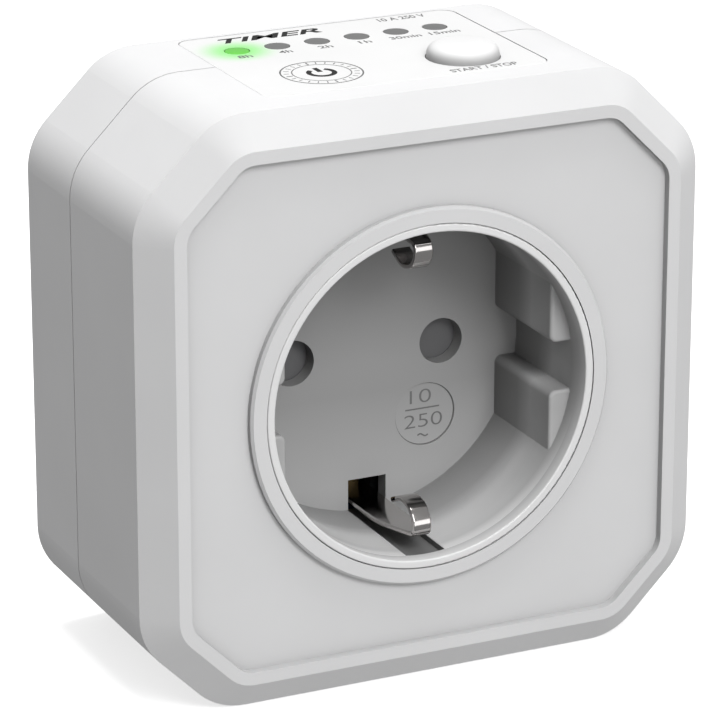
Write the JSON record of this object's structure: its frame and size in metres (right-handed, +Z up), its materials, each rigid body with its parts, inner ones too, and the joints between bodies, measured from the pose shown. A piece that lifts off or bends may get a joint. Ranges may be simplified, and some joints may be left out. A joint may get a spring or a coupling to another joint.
{
  "type": "plug-in timer socket",
  "caption": "Square plug-in timer adapter with a recessed earthed socket in its bevelled front, a round plug boss with pins behind, and time lights and a start button on top.",
  "frame": {"origin": "centre of the plug's engagement face, midway between the two plug pins", "axes": "+Z up, +Y out of the plug towards the wall socket, -Y out of the front socket, +X to the right as seen from the front"},
  "size_m": [0.0694, 0.072, 0.0711],
  "materials": {
    "housing": "fine satin, light grey white",
    "insert": "satin light grey",
    "panel": "satin, light grey white",
    "button": "satin light grey",
    "nickel": "polished nickel plate",
    "brass": "drawn",
    "steel": "zinc plated",
    "base_plastic": "moulded black",
    "shutter_plastic": "moulded grey",
    "led_lit": "lit green lens",
    "led_dark": "unlit grey lens",
    "circuit_board": "green solder mask",
    "black_plastic": "moulded black",
    "relay_case": "blue relay case",
    "film_case": "yellow film capacitor case",
    "can_sleeve": "dark blue sleeve",
    "varistor_coat": "blue dipped coat"
  },
  "bodies": {
    "case": {"front_housing": "housing", "rear_housing": "housing", "base_screws": "steel", "board_header": "black_plastic", "case_screws": "steel", "contact_base": "base_plastic", "control_board": "circuit_board", "control_panel": "panel", "earth_frame": "brass", "earth_pin_receptacle": "brass", "electrolytic_capacitor": "can_sleeve", "film_capacitor": "film_case", "fuse": "black_plastic", "led_15min": "led_dark", "led_1h": "led_dark", "led_2h": "led_dark", "led_30min": "led_dark", "led_4h": "led_dark", "led_8h": "led_lit", "led_holder": "black_plastic", "live_contact": "brass", "live_link": "brass", "microcontroller": "black_plastic", "neutral_contact": "brass", "neutral_link": "brass", "panel_screws": "steel", "plug_boss": "housing", "plug_earth_contact_bottom": "nickel", "plug_earth_contact_top": "nickel", "plug_pin_left": "nickel", "plug_pin_right": "nickel", "power_board": "circuit_board", "relay": "relay_case", "shutter_spring": "steel", "socket_insert": "insert", "tact_switch_body": "black_plastic", "varistor": "varistor_coat"},
    "shutter": {"shutter": "shutter_plastic"},
    "start_button": {"start_button": "button"},
    "switch_plunger": {"tact_switch_plunger": "black_plastic"},
    "earth_clip_top": {"earth_clip_top": "nickel"},
    "earth_clip_bottom": {"earth_clip_bottom": "nickel"}
  },
  "joints": [
    {"name": "button_press", "type": "slide", "parent": "case", "child": "start_button", "axis": [0, 0, -1], "range_m": [0, 0.0005], "stiffness_N_per_m": 2500, "springref_m": -0.0002},
    {"name": "plunger_press", "type": "slide", "parent": "case", "child": "switch_plunger", "axis": [0, 0, -1], "range_m": [0, 0.0005]},
    {"name": "shutter_turn", "type": "hinge", "parent": "case", "child": "shutter", "pos_m": [0, -0.03275, 0], "axis": [0, 1, 0], "range_deg": [0, 38], "stiffness_Nm_per_rad": 0.004, "springref_deg": -11.46},
    {"name": "earth_clip_top_flex", "type": "hinge", "parent": "case", "child": "earth_clip_top", "pos_m": [0, -0.02966, 0.01835], "axis": [-1, 0, 0], "range_deg": [0, 5], "stiffness_Nm_per_rad": 0.25, "springref_deg": -1.15},
    {"name": "earth_clip_bottom_flex", "type": "hinge", "parent": "case", "child": "earth_clip_bottom", "pos_m": [0, -0.02966, -0.01835], "axis": [1, 0, 0], "range_deg": [0, 5], "stiffness_Nm_per_rad": 0.25, "springref_deg": -1.15}
  ],
  "couplings": [
    {"joint": "plunger_press", "follows": "button_press", "ratio": 1}
  ]
}
